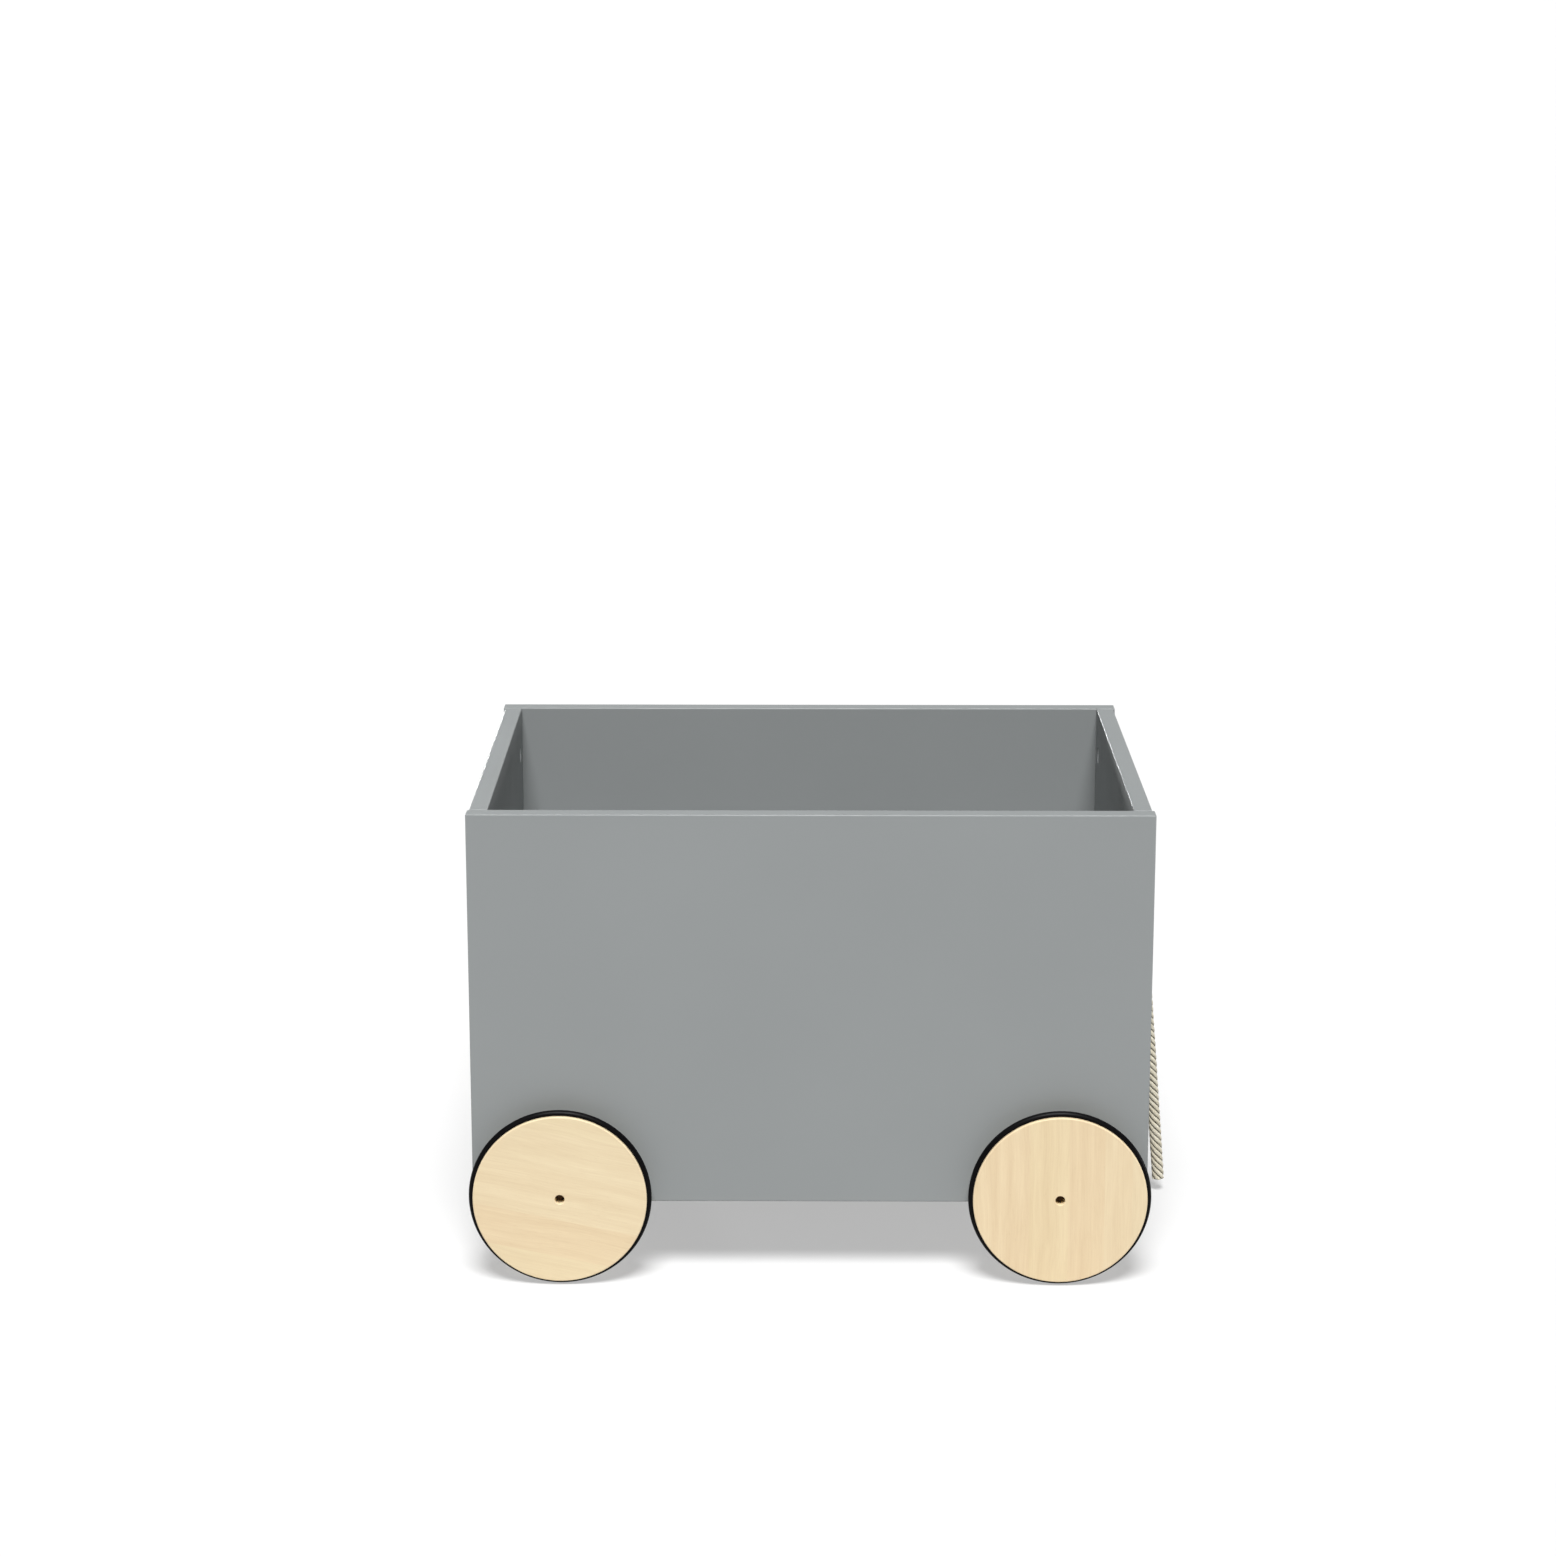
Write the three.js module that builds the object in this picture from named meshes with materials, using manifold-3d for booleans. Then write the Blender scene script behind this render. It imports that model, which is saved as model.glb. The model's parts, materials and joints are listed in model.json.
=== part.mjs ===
// A wooden toy box on four rubber-tyred wheels, with a pull rope through its right side.
//
// Millimetres, +Z up. The origin is on the ground, under the middle of the box. The front panel
// faces -Y and the rope hangs on the +X side. Four panels stand round a raised floor, joined by
// dowels and cam fittings. Two through axles run from front to back in flanged bushes under the
// floor, and a wheel is pressed on each end of each axle.

import * as THREE from 'three';
import { mergeVertices } from 'three/addons/utils/BufferGeometryUtils.js';
import Module from 'manifold-3d';

const wasm = await Module();
wasm.setup();

// ---- Driving dimensions ----------------------------------------------------------------------

const gap = 0.3; // left between pieces that touch, seat or slide on each other

// Panels
const boxWidth = 600; // front and back panels, end to end
const boxDepth = 400; // outer face of the front panel to outer face of the back panel
const panelHeight = 357;
const endBoard = 16; // thickness of the front and back panels
const sideBoard = 16;
const floorBoard = 16;
const sideInset = 2; // side panels' outer faces, in from the ends of the front and back panels
const floorRise = 22; // underside of the floor, above the panels' lower edges
const axleRise = 11; // axle, above the panels' lower edges

// Wheels and axles
const wheelRadius = 77;
const wheelThickness = 15;
const wheelEdge = 2; // rounding of the rim's edges
const tyreSection = 3.5; // radius of the tyre's round section
const tyreProud = 0.5; // middle of the tyre's section, outside the wood's rim
const wheelStandOff = 9; // panel's outer face to the wheel's back face
const axleOffset = 221; // axles, left and right of the middle
const axleRadius = 4;
const axleRecess = 8; // axle's end, in from the wheel's outer face
const axleChamfer = 0.6;

// Bushes and hub spacers
const bushWall = 2;
const bushFlangeRadius = 10;
const bushFlange = 2;
const spacerWall = 3;

// Cam fittings: a cam in the side panel's face draws a bolt in from the end panel
const camRadius = 7.3;
const camDepth = 12.2;
const camSetBack = 24; // middle of the cam, in from the side panel's end
const topCamDrop = 41; // upper cams, below the panels' upper edges
const lowCamRise = 13.5; // lower cams, above the panels' lower edges
const camFace = 0.4; // cam's face, below the panel's face
const camSlot = 1.2; // depth of the cross cut in the cam's face
const camSlotWidth = 1.6;
const camSlotLength = 10.5;
const boltRadius = 3;
const boltNeck = 1.8;
const boltHead = 3.2;
const boltHeadLength = 3;
const boltThread = 11; // bolt's length inside the end panel

// Dowels
const dowelRadius = 4;
const dowelLength = 30;
const dowelInEnd = 11; // dowel's length inside the end panel
const dowelChamfer = 1;
const dowelFromCam = 64; // dowels, in from the cams above and below them

// Cleats under the floor
const cleat = 18; // square section
const cleatLength = 280;
const cleatScrewSpan = 200; // between the two screws that hold a cleat to its side panel
const floorScrewSpan = 120; // between the two screws that hold the floor to a cleat
const screwRadius = 2;
const screwHead = 3.8;
const screwLength = 30;
const screwSlot = 1.2; // depth of the cross cut in a screw's head
const screwSlotWidth = 0.9;
const screwSlotLength = 4.4;

// Rope
const ropeDiameter = 11.5;
const ropeHoleRadius = 8.5;
const ropeHoleDrop = 152; // hole's middle, below the upper edges
const ropeHoleSoftening = 1.5; // chamfer round both mouths of the hole
const knotRadius = 20;
const knotLength = 30;
const knotAside = 3.7; // middle of the knot, behind the rope's line and below it
const knotDrop = 5;
const tailAside = 7.5; // short end, behind the rope's line
const tailLean = 19; // degrees that the short end hangs away from the board
const tailLength = 43; // short end, from the middle of the knot to its cut

// Middle line of the rope, from the inside of the right panel to the cut end
const ropePoints = [
  [282.0, 0, 276.2],
  [285.0, 0, 276.2],
  [288.4, 0, 276.1],
  [293.4, 0, 275.5],
  [298.5, 0, 273.8],
  [303.3, 0, 270.8],
  [307.2, 0, 266.8],
  [310.0, 0, 262.0],
  [311.7, 0, 256.6],
  [312.7, 0, 249.0],
  [313.7, 0, 238.0],
  [315.2, 0, 220.0],
  [317.7, 0, 190.0],
  [320.3, 0, 160.0],
  [322.9, 0, 130.0],
  [325.4, 0, 100.0],
  [328.0, 0, 70.0],
  [330.5, 0, 40.0],
  [332.8, 0, 12.6],
];

// ---- Places that follow from the driving dimensions ------------------------------------------

const tyreRadius = wheelRadius + tyreProud + tyreSection;
const axleZ = tyreRadius; // the tyres stand on the ground
const panelBottom = axleZ - axleRise;
const panelTop = panelBottom + panelHeight;
const endInner = boxDepth / 2 - endBoard; // inner faces of the front and back panels
const sideOuter = boxWidth / 2 - sideInset;
const sideInner = sideOuter - sideBoard;
const sideEnd = endInner - gap; // ends of the side panels
const floorUnder = panelBottom + floorRise;
const wheelMiddle = boxDepth / 2 + wheelStandOff + wheelThickness / 2;
const wheelFace = wheelMiddle + wheelThickness / 2;
const camHeights = [panelBottom + lowCamRise, panelTop - topCamDrop];
const dowelHeights = [camHeights[0] + dowelFromCam, camHeights[1] - dowelFromCam];
const sideMiddle = sideOuter - sideBoard / 2; // middle of the side panel's thickness
const cleatTop = floorUnder - gap;
const cleatMiddleX = sideInner - gap - cleat / 2;
const cleatMiddleZ = cleatTop - cleat / 2;
const ropeHoleZ = panelTop - ropeHoleDrop;
const bore = axleRadius + gap; // inside of everything that sits on an axle
const bushBarrel = bore + bushWall; // outer radius of a bush's barrel
const screwSink = screwHead - screwRadius; // depth of a countersunk head
const screwReach = screwLength - cleat; // a screw's length past its cleat

const SMALL = 12; // sides of a fastener and its hole
const ROUND = 16; // sides of an axle and what sits on it
const FINE = 32; // sides of the cams, their pockets and the rope's hole
const RIM = 32; // sides of a wheel

// ---- Materials -------------------------------------------------------------------------------

function finish(color, roughness, metalness = 0) {
  return () => new THREE.MeshStandardMaterial({ color, roughness, metalness });
}

const painted = finish(0x979b9a, 0.55);
const bare = finish(0xe6cda3, 0.6);
const rubber = finish(0x17181a, 0.65);
const steel = finish(0xa9adb0, 0.3, 1);
const zinc = finish(0x9fa3a6, 0.45, 1);
const nylon = finish(0x2a2b2d, 0.5);
const cotton = finish(0xd9cfb2, 0.95);

// ---- Shapes ----------------------------------------------------------------------------------

function toSolid(geometry) {
  const shape = geometry.clone();
  shape.deleteAttribute('normal');
  shape.deleteAttribute('uv');
  const merged = mergeVertices(shape, 1e-4);
  return new wasm.Manifold(new wasm.Mesh({
    numProp: 3,
    vertProperties: merged.attributes.position.array,
    triVerts: new Uint32Array(merged.index.array),
  }));
}

function toGeometry(solid) {
  const mesh = solid.getMesh();
  const geometry = new THREE.BufferGeometry();
  geometry.setAttribute('position', new THREE.BufferAttribute(mesh.vertProperties, 3));
  geometry.setIndex(new THREE.BufferAttribute(mesh.triVerts, 1));
  return geometry;
}

function cut(geometry, tools) {
  return toGeometry(tools.reduce((left, tool) => left.subtract(toSolid(tool)), toSolid(geometry)));
}

function block(x, y, z) {
  return new THREE.BoxGeometry(x, y, z);
}

// Turns a profile of [radius, height] pairs about the Y axis.
function turned(profile, sides = SMALL) {
  return new THREE.LatheGeometry(profile.map(([r, y]) => new THREE.Vector2(r, y)), sides);
}

// Turns a profile that goes once round and closes on itself, leaving a hole through the middle.
function turnedRing(profile, sides) {
  return turned([...profile, profile[0]], sides);
}

function pin(radius, from, to, sides = SMALL) {
  return turned([[0, from], [radius, from], [radius, to], [0, to]], sides);
}

function arc(r, y, radius, fromDegrees, toDegrees, steps) {
  const points = [];
  for (let i = 0; i <= steps; i += 1) {
    const angle = THREE.MathUtils.degToRad(fromDegrees + ((toDegrees - fromDegrees) * i) / steps);
    points.push([r + radius * Math.cos(angle), y + radius * Math.sin(angle)]);
  }
  return points;
}

// A shape turned about Y, laid along X or Z instead.
const alongX = (geometry) => geometry.rotateZ(-Math.PI / 2);
const alongZ = (geometry) => geometry.rotateX(Math.PI / 2);

// ---- Panels ----------------------------------------------------------------------------------

// The front panel has `out` -1 and the back panel 1, the way their outer faces look along Y.
function endPanel(out) {
  const middle = out * (endInner + endBoard / 2);
  const inner = out * endInner;
  const holes = [];
  for (const side of [-1, 1]) {
    const bushHole = pin(bushBarrel + gap, -endBoard, endBoard, ROUND);
    holes.push(bushHole.translate(side * axleOffset, middle, axleZ));
    for (const z of camHeights) {
      const boltHole = pin(boltRadius + gap, -boltThread - gap, boltThread + gap);
      holes.push(boltHole.translate(side * sideMiddle, inner, z));
    }
    for (const z of dowelHeights) {
      const dowelHole = pin(dowelRadius + gap, -dowelInEnd - gap, dowelInEnd + gap);
      holes.push(dowelHole.translate(side * sideMiddle, inner, z));
    }
  }
  const board = block(boxWidth, endBoard, panelHeight);
  return cut(board.translate(0, middle, panelBottom + panelHeight / 2), holes);
}

// The left side panel has `side` -1 and the right one 1.
function sidePanel(side) {
  const pocket = camDepth + camFace + gap;
  const dowelReach = dowelLength - dowelInEnd;
  const holes = [];
  for (const out of [-1, 1]) {
    for (const z of camHeights) {
      const camHole = alongX(pin(camRadius + gap, -pocket, pocket, FINE));
      holes.push(camHole.translate(side * sideInner, out * (sideEnd - camSetBack), z));
      const boltHole = pin(boltHead + gap, -camSetBack, camSetBack);
      holes.push(boltHole.translate(side * sideMiddle, out * sideEnd, z));
    }
    for (const z of dowelHeights) {
      const dowelHole = pin(dowelRadius + gap, -dowelReach, dowelReach);
      holes.push(dowelHole.translate(side * sideMiddle, out * sideEnd, z));
    }
    const screwHole = alongX(pin(screwRadius + gap, -screwReach, screwReach));
    holes.push(screwHole.translate(side * sideInner, (out * cleatScrewSpan) / 2, cleatMiddleZ));
  }
  if (side > 0) {
    holes.push(ropeHole());
  }
  const board = block(sideBoard, 2 * sideEnd, panelHeight);
  return cut(board.translate(side * sideMiddle, 0, panelBottom + panelHeight / 2), holes);
}

// The cutter for the rope's hole: a bore with a chamfered mouth on each face of the board.
function ropeHole() {
  const half = sideBoard / 2;
  const wide = ropeHoleRadius + ropeHoleSoftening;
  const profile = [
    [0, -half - 1],
    [wide + 1, -half - 1],
    [ropeHoleRadius, -half + ropeHoleSoftening],
    [ropeHoleRadius, half - ropeHoleSoftening],
    [wide + 1, half + 1],
    [0, half + 1],
  ];
  return alongX(turned(profile, FINE)).translate(sideMiddle, 0, ropeHoleZ);
}

function floorPanel() {
  const width = 2 * (sideInner - gap);
  const board = block(width, 2 * sideEnd, floorBoard).translate(0, 0, floorUnder + floorBoard / 2);
  const holes = [];
  for (const side of [-1, 1]) {
    for (const out of [-1, 1]) {
      const screwHole = alongZ(pin(screwRadius + gap, -screwReach, screwReach));
      holes.push(screwHole.translate(side * cleatMiddleX, (out * floorScrewSpan) / 2, floorUnder));
    }
  }
  return cut(board, holes);
}

// ---- Cleats and their screws -----------------------------------------------------------------

// Countersunk clearance hole through a cleat, its wide mouth at -cleat / 2 along Y.
function screwBore() {
  const half = cleat / 2;
  const profile = [
    [0, -half - gap],
    [screwHead + 2 * gap, -half - gap],
    [screwHead + 2 * gap, -half],
    [screwRadius + gap, -half + screwSink + gap],
    [screwRadius + gap, half + gap],
    [0, half + gap],
  ];
  return turned(profile);
}

function cleatBar(side) {
  const holes = [];
  for (const out of [-1, 1]) {
    const sideways = screwBore().rotateZ((-side * Math.PI) / 2);
    holes.push(sideways.translate(0, (out * cleatScrewSpan) / 2, 0));
    holes.push(alongZ(screwBore()).translate(0, (out * floorScrewSpan) / 2, 0));
  }
  return cut(block(cleat, cleatLength, cleat), holes).translate(side * cleatMiddleX, 0, cleatMiddleZ);
}

// Countersunk wood screw, its head flush at -cleat / 2 along Y and its point towards +Y, with a
// cross cut in the head for the driver.
function screw() {
  const head = -cleat / 2 + gap;
  const tip = -cleat / 2 + screwLength - gap;
  const profile = [
    [0, head],
    [screwHead, head],
    [screwRadius, head + screwSink],
    [screwRadius, tip - 2 * screwRadius],
    [0, tip],
  ];
  const cross = [
    block(screwSlotWidth, 2 * screwSlot, screwSlotLength).translate(0, head, 0),
    block(screwSlotLength, 2 * screwSlot, screwSlotWidth).translate(0, head, 0),
  ];
  return cut(turned(profile, ROUND), cross);
}

// ---- Cam fittings and dowels -----------------------------------------------------------------

// The cam's face looks into the box, with a cross cut in it for the driver, and its mouth faces
// the end panel, for the bolt's head. It is made for the back right corner and turned for others.
function cam(side, out) {
  const body = alongX(pin(camRadius, 0, camDepth, FINE));
  const cross = [
    block(2 * camSlot, camSlotWidth, camSlotLength),
    block(2 * camSlot, camSlotLength, camSlotWidth),
  ];
  const mouth = pin(boltHead + gap, -boltHeadLength, camRadius + 1);
  const boltLine = sideBoard / 2 - camFace;
  const made = cut(body, [...cross, mouth.translate(boltLine, 0, 0)]);
  made.rotateX(out > 0 ? 0 : Math.PI);
  return made.rotateY(side > 0 ? 0 : Math.PI);
}

// Bolt along Y: the threaded end at +Y goes into the end panel, the head at -Y into the cam.
function camBolt() {
  const head = -camSetBack - gap;
  const neckEnd = head + camRadius + 2 * gap;
  return turned([
    [0, head],
    [boltHead, head],
    [boltHead, head + boltHeadLength],
    [boltNeck, head + boltHeadLength],
    [boltNeck, neckEnd],
    [boltRadius, neckEnd],
    [boltRadius, boltThread - boltRadius],
    [boltRadius / 2, boltThread],
    [0, boltThread],
  ]);
}

function dowel() {
  const low = dowelInEnd - dowelLength + 2 * gap;
  const narrow = dowelRadius - dowelChamfer;
  return turned([
    [0, low],
    [narrow, low],
    [dowelRadius, low + dowelChamfer],
    [dowelRadius, dowelInEnd - dowelChamfer],
    [narrow, dowelInEnd],
    [0, dowelInEnd],
  ]);
}

// ---- Wheels, axles, bushes and spacers -------------------------------------------------------

function wheelDisc() {
  const half = wheelThickness / 2;
  const seat = tyreSection + gap;
  const mouth = THREE.MathUtils.radToDeg(Math.acos(tyreProud / seat));
  return turnedRing([
    [bore, -half],
    ...arc(wheelRadius - wheelEdge, -half + wheelEdge, wheelEdge, -90, 0, 2),
    ...arc(wheelRadius + tyreProud, 0, seat, 180 + mouth, 180 - mouth, 5),
    ...arc(wheelRadius - wheelEdge, half - wheelEdge, wheelEdge, 0, 90, 2),
    [bore, half],
  ], RIM);
}

function tyre() {
  const circle = arc(wheelRadius + tyreProud, 0, tyreSection, 0, 360, 8);
  return turnedRing(circle.slice(0, -1), RIM);
}

function axle() {
  const end = wheelFace - axleRecess;
  return turned([
    [0, -end],
    [axleRadius - axleChamfer, -end],
    [axleRadius, -end + axleChamfer],
    [axleRadius, end - axleChamfer],
    [axleRadius - axleChamfer, end],
    [0, end],
  ], ROUND);
}

// Flanged bush about Y: the flange bears on the panel's outer face, at 0, and the barrel goes in.
function bush() {
  return turnedRing([
    [bore, -endBoard],
    [bushBarrel, -endBoard],
    [bushBarrel, gap],
    [bushFlangeRadius, gap],
    [bushFlangeRadius, gap + bushFlange],
    [bore, gap + bushFlange],
  ], ROUND);
}

function spacer() {
  const from = bushFlange + 2 * gap;
  const to = wheelStandOff - gap;
  const outer = bore + spacerWall;
  return turnedRing([[bore, from], [outer, from], [outer, to], [bore, to]], ROUND);
}

// ---- Rope ------------------------------------------------------------------------------------

function ropeTube() {
  const path = new THREE.CatmullRomCurve3(ropePoints.map((point) => new THREE.Vector3(...point)));
  const section = new THREE.Shape().absarc(0, 0, ropeDiameter / 2, 0, 2 * Math.PI);
  return new THREE.ExtrudeGeometry(section, {
    steps: Math.round(path.getLength() / ropeDiameter) + 4,
    curveSegments: 5,
    extrudePath: path,
    bevelEnabled: false,
  });
}

// Stopper knot against the inside of the right panel, with the rope's short end hanging from it.
function stopperKnot() {
  const half = knotLength / 2;
  const lump = alongX(new THREE.SphereGeometry(knotRadius, 14, 8).scale(1, half / knotRadius, 1));
  const tail = pin(ropeDiameter / 2, 0, tailLength, 10).rotateX(-Math.PI / 2);
  tail.rotateY(THREE.MathUtils.degToRad(tailLean)).translate(0, tailAside - knotAside, 0);
  const knot = toGeometry(toSolid(lump).add(toSolid(tail)));
  const [, y, z] = ropePoints[0];
  return knot.translate(sideInner - gap - half, y + knotAside, z - knotDrop);
}

// ---- Assembly --------------------------------------------------------------------------------

const toyBox = new THREE.Group();

function add(name, geometry, material) {
  const mesh = new THREE.Mesh(geometry, material());
  mesh.name = name;
  toyBox.add(mesh);
  return mesh;
}

const ends = [
  { name: 'front', out: -1 },
  { name: 'back', out: 1 },
];
const sides = [
  { name: 'left', side: -1 },
  { name: 'right', side: 1 },
];

for (const { name, out } of ends) {
  add(`${name}_panel`, endPanel(out), painted);
}
for (const { name, side } of sides) {
  add(`${name}_side_panel`, sidePanel(side), painted);
}
add('floor_panel', floorPanel(), painted);

// A turned piece is made for the back of the box, and turned half round for the front.
function placeTurned(mesh, x, y, z) {
  mesh.rotation.z = y > 0 ? 0 : Math.PI;
  mesh.position.set(x, y, z);
}

function addCornerFittings(corner, side, out) {
  ['lower', 'upper'].forEach((level, i) => {
    const lock = add(`${corner}_${level}_cam`, cam(side, out), zinc);
    lock.position.set(side * (sideInner + camFace), out * (sideEnd - camSetBack), camHeights[i]);
    const bolt = add(`${corner}_${level}_cam_bolt`, camBolt(), steel);
    placeTurned(bolt, side * sideMiddle, out * endInner, camHeights[i]);
    const peg = add(`${corner}_${level}_dowel`, dowel(), bare);
    placeTurned(peg, side * sideMiddle, out * endInner, dowelHeights[i]);
  });
}

for (const { name: sideName, side } of sides) {
  for (const { name: endName, out } of ends) {
    addCornerFittings(`${endName}_${sideName}`, side, out);
  }
}

for (const { name, side } of sides) {
  add(`${name}_cleat`, cleatBar(side), bare);
  for (const { name: endName, out } of ends) {
    const sideScrew = add(`${endName}_${name}_cleat_screw`, screw(), steel);
    sideScrew.rotation.z = (-side * Math.PI) / 2;
    sideScrew.position.set(side * cleatMiddleX, (out * cleatScrewSpan) / 2, cleatMiddleZ);
    const floorScrew = add(`${endName}_${name}_floor_screw`, screw(), steel);
    floorScrew.rotation.x = Math.PI / 2;
    floorScrew.position.set(side * cleatMiddleX, (out * floorScrewSpan) / 2, cleatMiddleZ);
  }
}

for (const { name, side } of sides) {
  const x = side * axleOffset;
  add(`${name}_axle`, axle(), steel).position.set(x, 0, axleZ);
  for (const { name: endName, out } of ends) {
    const corner = `${endName}_${name}`;
    add(`${corner}_wheel`, wheelDisc(), bare).position.set(x, out * wheelMiddle, axleZ);
    add(`${corner}_tyre`, tyre(), rubber).position.set(x, out * wheelMiddle, axleZ);
    placeTurned(add(`${corner}_bush`, bush(), nylon), x, (out * boxDepth) / 2, axleZ);
    placeTurned(add(`${corner}_hub_spacer`, spacer(), nylon), x, (out * boxDepth) / 2, axleZ);
  }
}

add('pull_rope', ropeTube(), cotton);
add('rope_knot', stopperKnot(), cotton);

export default toyBox;
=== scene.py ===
# %% [markdown]
# # A wooden toy box on wheels
#
# This lesson dresses a toy box: four painted boards round a raised floor, four wooden wheels with
# rubber ring tyres on two steel axles, and a cotton rope to pull it by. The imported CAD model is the
# frame: it says where every board, wheel and screw is. Each visible piece is made again here with
# rounded edges, real turning profiles and its own finish, and stands in the place of its plain node.

import json
import math

import bmesh
import bpy
import numpy as np
from mathutils import Matrix, Vector


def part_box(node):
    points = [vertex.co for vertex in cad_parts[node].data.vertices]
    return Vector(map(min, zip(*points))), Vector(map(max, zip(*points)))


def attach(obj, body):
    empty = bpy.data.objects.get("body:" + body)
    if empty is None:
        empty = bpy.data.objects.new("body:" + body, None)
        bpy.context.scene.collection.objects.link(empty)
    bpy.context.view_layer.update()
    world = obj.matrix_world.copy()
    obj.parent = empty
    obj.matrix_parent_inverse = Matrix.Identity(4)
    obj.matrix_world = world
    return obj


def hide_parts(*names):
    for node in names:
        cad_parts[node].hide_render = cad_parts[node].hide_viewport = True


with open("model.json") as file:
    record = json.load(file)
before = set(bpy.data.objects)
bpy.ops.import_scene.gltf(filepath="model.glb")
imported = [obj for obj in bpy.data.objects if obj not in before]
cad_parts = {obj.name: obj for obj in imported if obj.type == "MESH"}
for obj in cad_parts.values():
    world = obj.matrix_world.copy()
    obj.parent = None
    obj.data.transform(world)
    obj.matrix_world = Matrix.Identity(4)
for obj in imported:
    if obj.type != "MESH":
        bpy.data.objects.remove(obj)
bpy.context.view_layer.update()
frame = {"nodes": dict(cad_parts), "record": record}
record = frame["record"]

# %% [markdown]
# ## Looking things up
#
# A piece made here takes its place, its body and its material slot from the node that it stands for,
# so the record is turned into two small dictionaries. Lengths are written in millimetres, the way a
# maker says them, and `mm` turns them into Blender's metres.

# %% Bodies, slots and millimetres
bodies = record["behaviour"]["bodies"]
body_of = {node: body for body, nodes in bodies.items() for node in nodes}
slot_of = {part["node"]: part["material_slot"] for part in record["subparts"]}


def mm(*lengths):
    metres = [length / 1000 for length in lengths]
    return metres[0] if len(metres) == 1 else Vector(metres)


def middle(node):
    low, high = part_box(node)
    return (Vector(low) + Vector(high)) / 2


print("The right axle lies along", [round(v, 3) for v in middle("right_axle")])

# %% [markdown]
# ## The camera
#
# The box is seen almost square on, from a little above its rim and from nearly three metres away
# through a long lens. A long lens from far away keeps the front and back of the box nearly the same
# size. The small upward shift of the box in the picture is done with the lens, which leaves its
# uprights straighter than tilting the camera further would.

# %% Camera
camera_place = (-0.012, -2.942, 1.203)
camera_pitch, camera_turn = math.radians(-12.44), math.radians(0.34)
level = math.radians(90)

lens = bpy.data.cameras.new("camera")
lens.lens = 75.9
lens.shift_y = -0.1
camera = bpy.data.objects.new("camera", lens)
camera.location = camera_place
camera.rotation_euler = (level + camera_pitch, 0, camera_turn)
bpy.context.collection.objects.link(camera)
bpy.context.scene.camera = camera
print("Camera", round((camera.location - middle("front_panel")).length, 2), "m from the front panel")

# %% [markdown]
# ## A rope that is laid from strands
#
# The rope is five soft cotton strands twisted round a core. It could be a plain tube with a bumpy
# material, but then its outline would stay smooth, and the outline is what says *rope*. So the strands
# are geometry. `bmesh.ops.spin` with a rise is a screw: it sweeps a ring of strand outlines up and
# round at once, which makes a straight rope. The straight rope is then laid along its route.

# %% Route of the rope
rope_points = [
    mm(282.0, 0, 276.2),
    mm(285.0, 0, 276.2),
    mm(288.4, 0, 276.1),
    mm(293.4, 0, 275.5),
    mm(298.5, 0, 273.8),
    mm(303.3, 0, 270.8),
    mm(307.2, 0, 266.8),
    mm(310.0, 0, 262.0),
    mm(311.7, 0, 256.6),
    mm(312.7, 0, 249.0),
    mm(313.7, 0, 238.0),
    mm(315.2, 0, 220.0),
    mm(317.7, 0, 190.0),
    mm(320.3, 0, 160.0),
    mm(322.9, 0, 130.0),
    mm(325.4, 0, 100.0),
    mm(328.0, 0, 70.0),
    mm(330.5, 0, 40.0),
    mm(332.8, 0, 12.6),
]
lay_step = mm(0.55)  # along the rope, from ring to ring


def smooth_route(points, step):
    """Places at even steps along a smooth curve through the points."""
    points = np.array(points)
    spans = np.linalg.norm(np.diff(points, axis=0), axis=1)
    at = np.concatenate([[0], np.cumsum(spans)])
    slopes = np.gradient(points, at, axis=0)
    fine = []
    for i, span in enumerate(spans):
        t = np.linspace(0, 1, 24, endpoint=False)[:, None]
        start, end = points[i], points[i + 1]
        turn_out, turn_in = slopes[i] * span, slopes[i + 1] * span
        bend = (2 * t**3 - 3 * t**2 + 1) * start + (t**3 - 2 * t**2 + t) * turn_out
        fine.append(bend + (3 * t**2 - 2 * t**3) * end + (t**3 - t**2) * turn_in)
    fine = np.concatenate(fine + [points[-1:]])
    run = np.concatenate([[0], np.cumsum(np.linalg.norm(np.diff(fine, axis=0), axis=1))])
    even = np.linspace(0, run[-1], round(run[-1] / step) + 1)
    return np.stack([np.interp(even, run, fine[:, k]) for k in range(3)], axis=1)


rope_route = smooth_route(rope_points, lay_step)

# %% [markdown]
# ## The stopper knot
#
# Inside the box an overhand knot keeps the rope from pulling out. Its shape is hard to draw by hand,
# because every pass of the rope leans on another. So it is tied loosely from a formula for the
# simplest open knot, and then pulled tight in a few hundred rounds: each round straightens the rope a
# little, pushes apart the places that press on each other, and shortens it from link to link.

# %% Tie and tighten the knot
knot_links = 96
knot_rounds = 900
knot_span, knot_loose, knot_tight = mm(110), mm(420), mm(225)
pressed_thickness = mm(10.8)  # two passes of soft rope, middle to middle, pressed together


def loose_knot():
    t = np.linspace(-2.25, 2.25, knot_links)
    knot = np.stack([0.42 * (t**5 - 10 * t), 1.6 * (t**3 - 3 * t), t**4 - 4 * t**2], axis=1)
    knot *= knot_loose / np.linalg.norm(np.diff(knot, axis=0), axis=1).sum()
    return knot - (knot[0] + knot[-1]) / 2


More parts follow.
